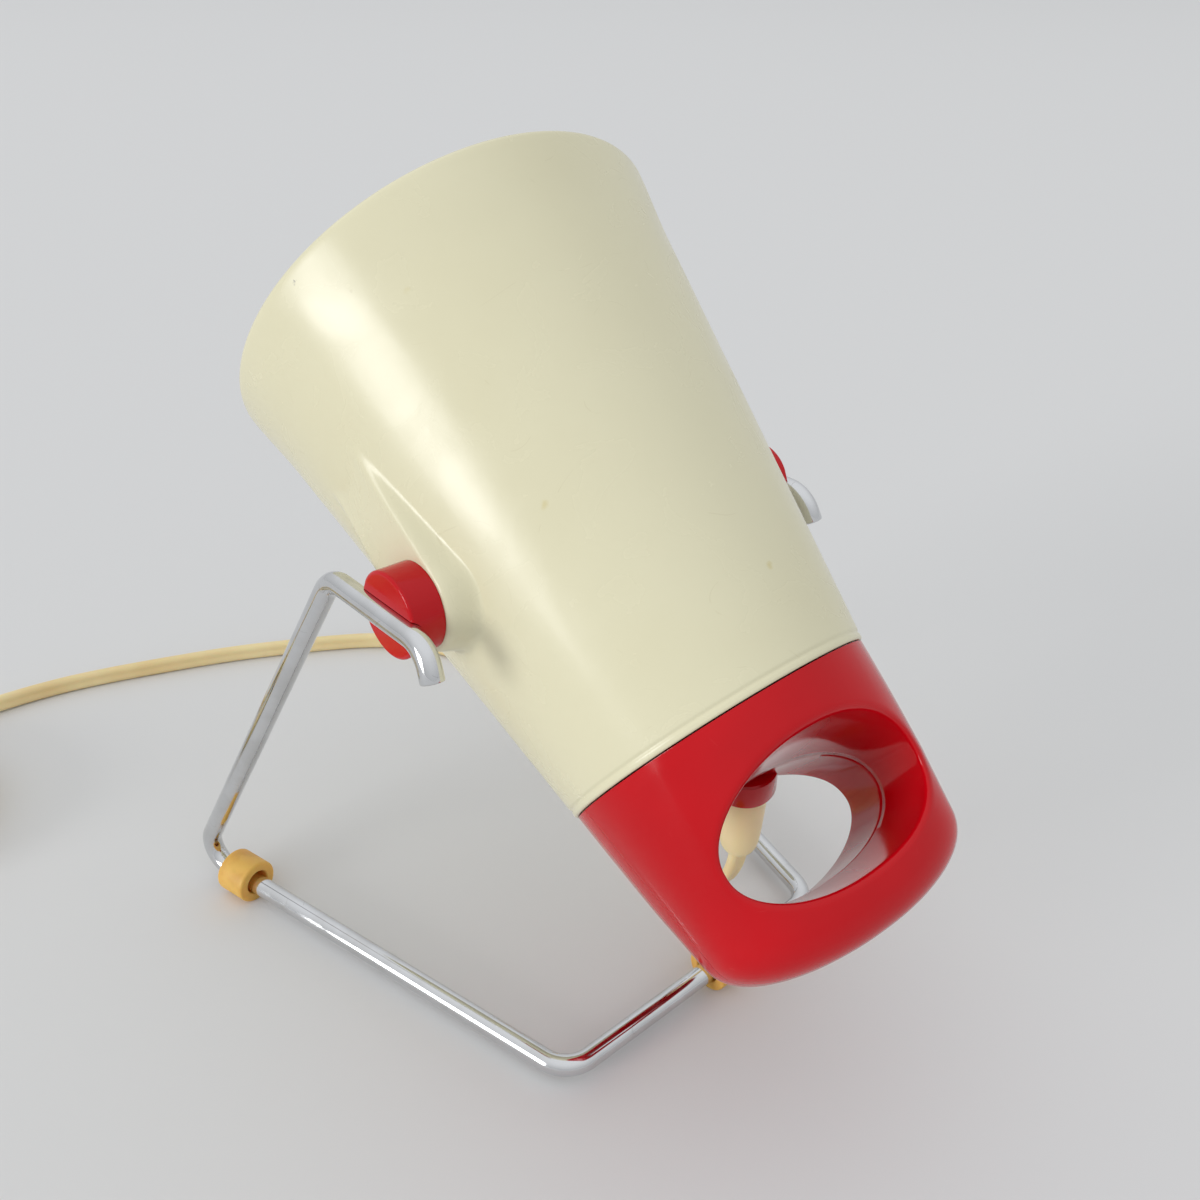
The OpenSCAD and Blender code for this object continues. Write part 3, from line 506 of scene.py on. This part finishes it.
def shade_grid(profile):
    """The profile turned about the lamp's axis, with closer columns at both sides; each point
    inside the tongue's flat face is moved out to it by the mask."""
    side = np.radians(np.concatenate([np.arange(-24, 24, 0.75), np.arange(24, 156, 2.2)]))
    a = np.concatenate([side, side + np.pi])
    radius, s = profile[:, 0, None], profile[:, 1, None] + 0 * a
    x, n = radius * np.cos(a), radius * np.sin(a)
    inside = radius < cone_r(s) - sheet / 2
    face = boss_x - np.where(inside, sheet, 0)
    lift = boss_mask(n, s) * np.maximum(0, face - np.abs(x)) * (s > neck_s + 6 * mm)
    return in_head(np.stack([x + np.sign(x) * lift, n, s], -1))


def spot_group():
    """Group: mask of a ragged spot round a centre, for chips and stains."""
    tree, put, out = group("ragged_spot", {"Vector": "Vector", "Centre": "Vector", "Radius": "Float",
                                           "Softness": "Float", "Raggedness": "Float"},
                           {"Mask": "Float"})
    rag = node(tree, "TexNoise", {"Vector": put["Vector"], "Scale": 700.0, "Detail": 2.0})
    push = math_node(tree, "MULTIPLY", step_range(tree, rag.outputs[0], 0.3, 0.7, -1.0, 1.0),
                     put["Raggedness"])
    apart = node(tree, "VectorMath", {0: put["Vector"], 1: put["Centre"]},
                 operation="DISTANCE").outputs["Value"]
    ragged = math_node(tree, "ADD", apart, math_node(tree, "MULTIPLY", push, put["Radius"]))
    edge = math_node(tree, "DIVIDE", math_node(tree, "SUBTRACT", ragged, put["Radius"]),
                     math_node(tree, "MULTIPLY", put["Radius"], put["Softness"]))
    tree.links.new(step_range(tree, edge, -1.0, 0.0, 1.0, 0.0), out["Mask"])
    return tree


def hairline_group():
    """Group: mask of short fine scratches, where a warped noise crosses its middle value, broken
    up by a second noise."""
    tree, put, out = group("hairlines", {"Vector": "Vector", "Scale": "Float", "Width": "Float",
                                         "Share": "Float"}, {"Mask": "Float"})
    warp = node(tree, "TexNoise", {"Vector": put["Vector"], "Scale": put["Scale"], "Detail": 0.0,
                                   "Distortion": 1.5})
    off = math_node(tree, "ABSOLUTE", math_node(tree, "SUBTRACT", warp.outputs[0], 0.5))
    line = step_range(tree, math_node(tree, "DIVIDE", off, put["Width"]), 0.4, 1.0, 1.0, 0.0)
    breaks = node(tree, "TexNoise", {"Vector": put["Vector"], "Scale": 140.0, "Detail": 1.0})
    kept = step_range(tree, math_node(tree, "SUBTRACT", put["Share"], breaks.outputs[0]), 0.0, 0.05)
    tree.links.new(math_node(tree, "MULTIPLY", line, kept), out["Mask"])
    return tree


ragged_spot, hairlines = spot_group(), hairline_group()


def marked(material, marks):
    """Lays marks over a finish's colour, in order: each is a group, its values and the colour of
    the mark. The last colour goes to the shader."""
    tree = material.node_tree
    colour = base_colour(tree)
    for mark, values, share, mark_colour in marks:
        placed = node(tree, "Group", node_tree=mark)
        tree.links.new(object_place(tree), placed.inputs["Vector"])
        for key, value in values.items():
            placed.inputs[key].default_value = value
        laid_on = math_node(tree, "MULTIPLY", placed.outputs["Mask"], share)
        colour = blended(tree, laid_on, colour, mark_colour)
    tree.links.new(colour, tree.nodes["Principled BSDF"].inputs["Base Color"])


def spot(across, above, along, radius, softness, ragged, share, colour):
    """A ragged spot on the shade, given from the pivot in mm."""
    return (ragged_spot, {"Centre": in_head(mm * np.array([across, above, along])), "Radius": radius * mm,
                          "Softness": softness, "Raggedness": ragged}, share, colour)


enamel = finish("enamel", srgb(220, 215, 184), srgb(214, 208, 175), 0.25, 14.0, 0.5, 0.05, 420.0,
                0.00001, Specular_IOR_Level=0.5)
bare_steel, amber_stain, scuff = srgb(84, 88, 94), srgb(204, 190, 130), srgb(200, 192, 158)
marked(enamel, [
    (hairlines, {"Scale": 26.0, "Width": 0.0035, "Share": 0.40}, 0.3, scuff),
    spot(58.2, 27.5, 78.1, 1.0, 0.5, 0.4, 0.8, bare_steel),
    spot(51.5, 35.8, 66.6, 0.5, 0.6, 0.4, 0.4, scuff),
    spot(37.6, 37.2, -1.1, 1.4, 0.9, 0.2, 0.5, amber_stain),
    spot(-1.6, 47.5, -38.1, 1.3, 0.9, 0.2, 0.6, amber_stain),
    spot(43.3, 43.7, 58.6, 1.2, 0.9, 0.3, 0.2, amber_stain)])
finished(surface("shade_cone", shade_grid(shade_profile()), wrap_rows=True), enamel, "head",
         "shade")


# ---- Handle ----
# Two glossy red mouldings that meet in a fine line round the sides and through the grip hole. The
# neck end is round, the far end is a flat rounded bar, and the hole's edges are well rounded.
face_s, handle_length, cap_length = -62.5 * mm, 63.2 * mm, 15 * mm
handle_r, handle_end_r, handle_top, handle_under = 43.4 * mm, 36.5 * mm, 24 * mm, 13 * mm
parting_rise, parting_slope = 8.5 * mm, 8.5 / 62.8
cap_power, blunt_power = 2.35, 4
end_flat, handle_wall = 1.5 * mm, 2.6 * mm
hole_s, hole_half, hole_half_wide = -92.9 * mm, 15.4 * mm, 29 * mm
hole_power, hole_draft = 2.13, 0.08
seam, neck_columns = 0.06 * mm, 72


def signed_power(x, power):
    return np.sign(x) * np.abs(x) ** power


def parting(s):
    return (neck_s - s) * parting_slope


def handle_sizes(t, inset):
    """Half width, height above and below the parting line, and the sections' power at a share t
    of the length; the last cap_length closes in rounded off by a power law."""
    long = handle_length - inset
    cap = np.clip((t * long - long + cap_length - inset) / (cap_length - inset), 0, 0.99999)
    at = t * long / handle_length
    closing = (1 - cap ** cap_power) ** (1 / cap_power)
    wide = (handle_r + (handle_end_r - handle_r) * at - inset) * closing
    blunt = (1 - cap ** blunt_power) ** (1 / blunt_power)
    up = (handle_r + (handle_top - handle_r) * at - parting_rise * at - inset) * blunt
    down = (handle_r + (handle_under - handle_r) * at + parting_rise * at - inset) * blunt
    return wide, up, down, 2 / (2 + 0.4 * np.minimum(1, 2 * at))


def handle_share(q):
    """Share of the length for an even step q: straight at first, then a sine into the cap."""
    straight = handle_length - cap_length
    first = straight / (straight + cap_length * np.pi / 2)
    closing = straight + cap_length * np.sin(np.clip((q - first) / (1 - first), 0, 1) * np.pi / 2)
    return np.where(q < first, q / first * straight, closing) / handle_length


def handle_skin(a, q, side, inset=0.0):
    """The moulding's skin: superellipse sections round the lamp's axis, a from one side over the
    top (or under, for the lower half) to the other, q along the handle."""
    t = handle_share(q)
    wide, up, down, power = handle_sizes(t, inset)
    s = face_s - t * (handle_length - end_flat - inset)
    height = np.maximum((up if side > 0 else down) * np.abs(np.sin(a)) ** power, seam)
    return np.stack([wide * signed_power(np.cos(a), power), parting(s) + side * height, s], -1)


def hole_point(direction, height, grow):
    """Across and along of the grip hole's wall: a superellipse that opens with its height above
    the parting line."""
    c, s = np.cos(direction), np.sin(direction)
    half_wide, half = (v + hole_draft * height + grow for v in (hole_half_wide, hole_half))
    r = (np.abs(c / half_wide) ** hole_power + np.abs(s / half) ** hole_power) ** (-1 / hole_power)
    return r * c, hole_s + r * s


def skin_height(x, s, side, inset=0.0):
    """The skin's height off the parting line over a place, with the section's values there."""
    t = (face_s - s) / (handle_length - end_flat - inset)
    wide, up, down, power = handle_sizes(t, inset)
    return ((up if side > 0 else down)
            * (1 - np.clip(np.abs(x) / wide, 0, 1) ** (2 / power)) ** (power / 2), t, wide, power)


def hole_edge(direction, side, fillet, inset):
    """Where the hole's wall meets the skin, and where the fillet starts on the skin (as a and q)."""
    height = np.full_like(direction, 20 * mm)
    for _ in range(6):
        x, s = hole_point(direction, height, inset)
        height = skin_height(x, s, side, inset)[0]
    start = height + 0
    for _ in range(6):
        x, s = hole_point(direction, start, inset + fillet)
        start, t, wide, power = skin_height(x, s, side, inset)
    a = np.arccos(np.clip(signed_power(x / wide, 1 / power), -1, 1))
    shares = np.linspace(0, 1, 2001)
    return height, a, np.interp(t, handle_share(shares), shares)


def half_skin(side, inset, fillet, wall_rows, fillet_rows, skin_rows):
    """Rows from the parting line up the hole's wall, over the fillet (a quadratic curve between
    wall and skin) and across the skin to its outline, for columns that go round the outline:
    neck edge, one side, end, other side."""
    counts, corners = (neck_columns, 84, 44, 84), np.radians([34.7, 145.3, 248, 292, 394.7])
    share = [np.arange(n) / n for n in counts]
    direction = np.concatenate([corners[k] + (corners[k + 1] - corners[k]) * share[k] for k in range(4)])
    a_out = np.concatenate([np.pi * share[0], np.full(counts[1], np.pi), np.pi * (1 - share[2]),
                            np.zeros(counts[3])])
    q_out = np.concatenate([np.zeros(counts[0]), share[1], np.ones(counts[2]), 1 - share[3]])
    top, a_in, q_in = hole_edge(direction, side, fillet, inset)
    levels = np.linspace(0, 1, wall_rows)[:, None] * (top - fillet - seam) + seam
    x, s = hole_point(direction, levels, inset)
    wall = np.stack([x, parting(s) + side * levels, s], -1)
    x, s = hole_point(direction, top, inset)
    corner = np.stack([x, parting(s) + side * top, s], -1)
    w = (1 - (1 - np.linspace(0, 1, skin_rows)) ** 1.5)[:, None]
    skin = handle_skin(a_in + (a_out - a_in) * w, q_in + (q_out - q_in) * w, side, inset)
    t = (np.arange(1, fillet_rows) / fillet_rows)[:, None, None]
    round_off = (1 - t) ** 2 * wall[-1] + 2 * t * (1 - t) * corner + t * t * skin[0]
    flat_end = skin[-1].copy()
    ending = slice(counts[0] + counts[1], counts[0] + counts[1] + counts[2])
    flat_end[ending, 1] = parting(flat_end[ending, 2]) + side * seam
    return np.concatenate([wall, round_off, skin, flat_end[None]])


def moulding(side):
    """One half of the handle as a closed shell: the outer rows, a rounded turn-in at the parting
    line and the neck face, then the same rows a wall further in, in reverse."""
    outer = half_skin(side, 0.0, 2.2 * mm, 12, 10, 46)
    inner = half_skin(side, handle_wall, 1.0 * mm, 4, 3, 16)
    tuck = np.array([0.05, 0.14, 0.8])[:, None, None]
    rim = outer[-1] + (inner[-1] - outer[-1]) * tuck
    lip = outer[0] + (inner[0] - outer[0]) * tuck[::-1]
    neck = slice(0, neck_columns)
    for rows, sink in ((outer[-2:-1], 0.15), (outer[-1:], 0.15), (rim[:1], 0.04)):
        rows[:, neck, 2] -= sink * mm
    for rows in (rim, lip):
        rows[..., 1] -= side * 1.2 * seam * (rows[..., 2] < face_s - mm)
    return in_handle(np.concatenate([lip, outer, rim, inner[::-1]]))


red_moulding = finish("red_moulding", srgb(194, 6, 20), srgb(176, 3, 14), 0.12, 18.0, 0.5, 0.03,
                      500.0, 0.000004, Specular_IOR_Level=0.28)
marked(red_moulding, [(hairlines, {"Scale": 30.0, "Width": 0.003, "Share": 0.36}, 0.2,
                       srgb(208, 60, 60))])
for half, side in (("upper", 1), ("lower", -1)):
    finished(surface("handle_" + half + "_half", moulding(side), wrap_rows=True, crease=70),
             red_moulding, "head", "handle_" + half)
finished(turned("relief_boss", relief_boss_profile, in_relief), red_moulding, "head")


# ---- Pivot knobs ----
# Red knobs turned down to a plain disc, with a round-bottomed slot across the face in which the
# wire sits; the edge of the face is slightly rounded.
knob_r, knob_base, knob_face, knob_edge = 11.4 * mm, 58.318 * mm, 67.318 * mm, 0.8 * mm
slot_r, slot_x = 3.15 * mm, 68.018 * mm


def knob_grid():
    """The face is a height field over the disc: the lower of the flat face, rounded off at the
    rim, and the slot's arc. Each row is a chord along the slot, led down the side to the base."""
    slot_edge = np.arcsin(np.sqrt(slot_r ** 2 - (slot_x - knob_face) ** 2) / knob_r)
    up = np.concatenate([np.linspace(0, slot_edge, 14), slot_edge + np.array([0.004, 0.012, 0.03]),
                         np.pi / 2 * np.sin(np.linspace(0.35, np.pi / 2, 26))])
    up = np.unique(np.round(up, 6))
    row = np.concatenate([-up[:0:-1], up])[:, None]
    chord = np.pi / 2 * np.sin(np.linspace(-np.pi / 2, np.pi / 2, 49))[None]
    z, y = knob_r * np.sin(row) + 0 * chord, knob_r * np.cos(row) * np.sin(chord)
    rim = np.clip(np.hypot(y, z) - knob_r + knob_edge, 0, knob_edge)
    face = knob_face - knob_edge + np.sqrt(knob_edge ** 2 - rim ** 2)
    slot = slot_x - np.sqrt(np.maximum(0, slot_r ** 2 - z ** 2))
    slot = np.where(np.abs(z) < slot_r, slot, knob_face + mm)
    x = np.minimum(face, slot)
    top = np.stack([x, y, z], -1)
    base_left, base_right = top[:, :1].copy(), top[:, -1:].copy()
    base_left[..., 0] = base_right[..., 0] = knob_base
    middle = (base_left + base_right) / 2
    return np.concatenate([middle, base_left, top, base_right], 1)


for name, mirror in (("left", 1), ("right", -1)):
    finished(surface("knob_" + name + "_disc", pivot + knob_grid() * (mirror, 1, 1), crease=38),
             red_moulding, "stand", "knob_" + name)


# ---- Stand ----
# One chrome-plated rod of 6.1 mm, bent cold: it rises from the base on both sides, passes through
# the knobs' slots and ends in short downward tips.
wire_r = 3.05 * mm
left_wire = mm * np.array([[68.918, 20.8, 126.6], [68.018, 16.8, 134.5], [68.018, -25.1, 134.5],
                           [89.5, -95, 6], [52, 51.7, 6]])
wire_bends = mm * np.array([9, 9, 8, 10])


def bent(points, bends):
    """A path with a round bend at each inner point: an arc tangent to both of its stretches."""
    path = [points[:1]]
    for corner, before, after, r in zip(points[1:-1], points[:-2], points[2:], bends):
        u, v = unit(corner - before), unit(after - corner)
        angle = np.arccos(np.clip(u @ v, -1, 1))
        square = unit(v - (u @ v) * u)
        centre = corner - u * r * np.tan(angle / 2) + r * square
        turn = np.linspace(0, angle, 14)[:, None]
        path.append(centre - r * np.cos(turn) * square + r * np.sin(turn) * u)
    return np.vstack(path + [points[-1:]])


def rod(path, r, columns=40, edge=0.5 * mm):
    """A round rod along a path, its section carried without twist, its ends slightly bevelled."""
    way = unit(np.vstack([path[1] - path[0], path[2:] - path[:-2], path[-1] - path[-2]]))
    side = [np.array([1.0, 0, 0])]
    for step in way:
        side.append(unit(side[-1] - (side[-1] @ step) * step))
    side = np.array(side[1:])
    other = np.cross(way, side)
    a = np.arange(columns) * 2 * np.pi / columns
    ring = np.cos(a)[None, :, None] * side[:, None] + np.sin(a)[None, :, None] * other[:, None]
    rings = path[:, None] + r * ring
    bevel = ((1, 1), (0.3, 0.7))
    first = [path[0] + (r - edge * k) * ring[0] + edge * (1 - m) * way[0] for k, m in bevel]
    last = [path[-1] + (r - edge * k) * ring[-1] - edge * (1 - m) * way[-1]
            for k, m in bevel[::-1]]
    rings[0] += edge * way[0]
    rings[-1] -= edge * way[-1]
    return np.concatenate([first, rings, last])


whole_wire = np.vstack([left_wire, left_wire[::-1] * (-1, 1, 1)])
chrome = finish("chrome", srgb(214, 215, 217), srgb(196, 196, 196), 0.1, 90.0, 0.5, 0.05, 300.0,
                0.000004, Metallic=1.0)
marked(chrome, [(hairlines, {"Scale": 60.0, "Width": 0.004, "Share": 0.42}, 0.35,
                 srgb(120, 110, 100))])
wire_path = foot + bent(whole_wire, np.concatenate([wire_bends, wire_bends[::-1]]))
finished(surface("stand_rod", rod(wire_path, wire_r), ends=True, crease=50), chrome, "stand",
         "stand_wire")


# ---- Rubber rings ----
# Three tan rubber rings, threaded on the wire before it was bent, keep the chrome off the table.
# They are a loose fit, and lie slightly flattened on the table.
ring_r, ring_bore, ring_length, ring_edge = 7 * mm, 3.95 * mm, 11.5 * mm, 0.8 * mm
ring_z, ring_back, rear_ring_x, bore_bevel = 6.8 * mm, 21 * mm, -9 * mm, 0.3 * mm


def ring_profile():
    """Closed outline of a ring: rounded outer edges, and a bore with a small bevel."""
    half, r = ring_length / 2, ring_r - ring_edge
    bore = [[ring_bore + bore_bevel, half], [ring_bore, half - bore_bevel],
            [ring_bore, bore_bevel - half], [ring_bore + bore_bevel, -half]]
    return np.vstack([arc(r, half - ring_edge, ring_edge, 0, 90, 7), bore,
                      arc(r, ring_edge - half, ring_edge, -90, 0, 7)])


def ring_place(middle, way):
    """Puts a ring's axis along way at middle, with nothing of it below the table."""
    along = unit(np.array([*way, 0.0]))
    side = np.array([along[1], -along[0], 0])

    def placed(p):
        points = middle + p @ np.array([side, (0, 0, 1), along])
        points[..., 2] = np.maximum(points[..., 2], 0)
        return points
    return placed


tan_rubber = finish("tan_rubber", srgb(228, 174, 86), srgb(206, 146, 62), 0.5, 120.0, 0.7, 0.08,
                    1400.0, 0.00003, Subsurface_Weight=0.2)
base_way = unit(left_wire[4, :2] - left_wire[3, :2])
side_middle = foot + np.array([*(left_wire[3, :2] + ring_back * base_way), ring_z])
mirror_x = np.array([-1, 1, 1])
for name, middle, way in (("foot_left", side_middle, base_way),
                          ("foot_right", side_middle * mirror_x, base_way * (-1, 1)),
                          ("foot_rear", foot + (rear_ring_x, left_wire[4, 1], ring_z), (1, 0))):
    finished(turned(name + "_ring", ring_profile(), ring_place(np.array(middle), way)),
             tan_rubber, "stand", name)


# ---- Bulb and its holder ----
# A screw-cap reflector bulb: ruby glass face, silvered behind; the brass-shelled porcelain holder
# stands on a steel bridge in the shade's neck.
def towards(tree, place, direction, origin):
    """How far a point lies along a direction from an origin."""
    apart = node(tree, "VectorMath", {0: place, 1: origin}, operation="SUBTRACT").outputs[0]
    return node(tree, "VectorMath", {0: apart, 1: direction}, operation="DOT_PRODUCT").outputs["Value"]


bulb_face, silver_depth = 70 * mm, 17 * mm
bulb_outline = mm * np.array([
    [0, 0], [16, 0.8], [30, 3.2], [40, 6.6], [45.5, 10], [47.5, 14.5], [47.1, 19],
    [44, 27], [37.5, 38], [29.5, 52], [22, 67], [18, 78], [16.6, 88], [11.8, 95.8]])
bulb_line = smooth(bulb_outline * (1, -1) + (0, bulb_face), 5)
bulb_glass = finish("bulb_glass", srgb(150, 14, 20), srgb(120, 6, 12), 0.12, 30.0, 0.5, 0.03,
                    300.0, 0.00001, Coat_Weight=1.0, Coat_Roughness=0.03)
tree = bulb_glass.node_tree
shader = tree.nodes["Principled BSDF"]
past_silver = towards(tree, object_place(tree), in_head((0, 0, 1)) - pivot,
                      in_head((0, 0, bulb_face - silver_depth)))
behind = step_range(tree, past_silver, -mm, 0.0, 1.0, 0.0)
tree.links.new(behind, shader.inputs["Metallic"])
tree.links.new(blended(tree, behind, base_colour(tree), srgb(200, 196, 190)),
               shader.inputs["Base Color"])
inner_line = bulb_line[1:-1] * (0.975, 1) - (0, 0.9 * mm)
bulb_wall = np.vstack([bulb_line, inner_line[::-1], [[0, bulb_face - mm]]])
finished(turned("reflector_bulb", bulb_wall, in_head), bulb_glass, "head", "bulb_glass")
black_glass = finish("black_glass", srgb(22, 22, 26), srgb(36, 34, 36), 0.12, 60.0, 0.4)
cap_metal = finish("cap_metal", srgb(206, 202, 190), srgb(160, 152, 136), 0.32, 90.0, 0.6, 0.1,
                   Metallic=1.0)
brown_wire = finish("brown_wire", srgb(96, 60, 38), srgb(78, 48, 30), 0.4, 90.0, 0.5)
blue_wire = finish("blue_wire", srgb(44, 72, 130), srgb(36, 58, 110), 0.4, 90.0, 0.5)
clamp_plastic = finish("clamp_plastic", srgb(226, 222, 210), srgb(206, 200, 184), 0.42, 60.0, 0.5)
dressed(steel, "handle_screws", "bridge_plate", "bridge_screws", "holder_screws", "clamp_screws",
        "pivot_studs", "pivot_washers", "pivot_nuts", "filament", "bulb_contact")
for material, name in ((porcelain, "holder_body"), (cap_metal, "bulb_cap"),
                       (black_glass, "bulb_insulator"), (brown_wire, "lead_left"),
                       (blue_wire, "lead_right"), (clamp_plastic, "cord_clamp"),
                       (cord_cream, "cord_inner")):
    dressed(material, name)


# ---- Floor and light ----
# A wide pale floor under an even sky that is brighter overhead, and a tall far window of light on
# the lamp's left side that draws the band down the shade.
def plain_material(name, colour, roughness):
    """A material of one colour."""
    material = bpy.data.materials.new(name)
    material.use_nodes = True
    shader = material.node_tree.nodes["Principled BSDF"]
    shader.inputs["Base Color"].default_value = colour
    shader.inputs["Roughness"].default_value = roughness
    return material


floor_r, floor_sides = 40.0, 64
a = np.arange(floor_sides) * 2 * np.pi / floor_sides
floor = surface("floor", np.stack([np.outer((0, floor_r), np.cos(a)),
                                   np.outer((0, floor_r), np.sin(a)),
                                   np.zeros((2, floor_sides))], -1))
floor.data.materials.append(plain_material("floor_paper", srgb(216, 216, 216), 0.8))


def window_light(azimuth, elevation, distance, width, height, power):
    """An area light that looks at the pivot, from a direction in degrees and a distance in metres,
    with its sides in metres and its power in watts."""
    light = bpy.data.lights.new("window", "AREA")
    light.shape = "RECTANGLE"
    light.size, light.size_y, light.energy, light.spread = width, height, power, np.radians(90)
    made = bpy.data.objects.new("window", light)
    bpy.context.scene.collection.objects.link(made)
    az, el = np.radians(azimuth), np.radians(elevation)
    out = np.array([np.sin(az) * np.cos(el), -np.cos(az) * np.cos(el), np.sin(el)])
    right = unit(np.cross((0, 0, 1), out))
    made.matrix_world = axes_matrix(right, np.cross(out, right), out, pivot + distance * out)


window_light(azimuth=84, elevation=11, distance=20.0, width=7.5, height=9.58, power=472)

world = bpy.data.worlds.new("sky")
bpy.context.scene.world = world
world.use_nodes = True
sky = world.node_tree
direction = node(sky, "SeparateXYZ", {0: node(sky, "TexCoord").outputs["Generated"]})
sky_colour, below_level, sky_low, sky_high = (0.97, 0.985, 1.0, 1.0), -0.1, 0.6, 0.95
background = sky.nodes["Background"].inputs
background["Color"].default_value = sky_colour
sky.links.new(step_range(sky, direction.outputs[2], below_level, 1.0, sky_low, sky_high),
              background["Strength"])
bpy.context.scene.view_settings.view_transform = "Standard"
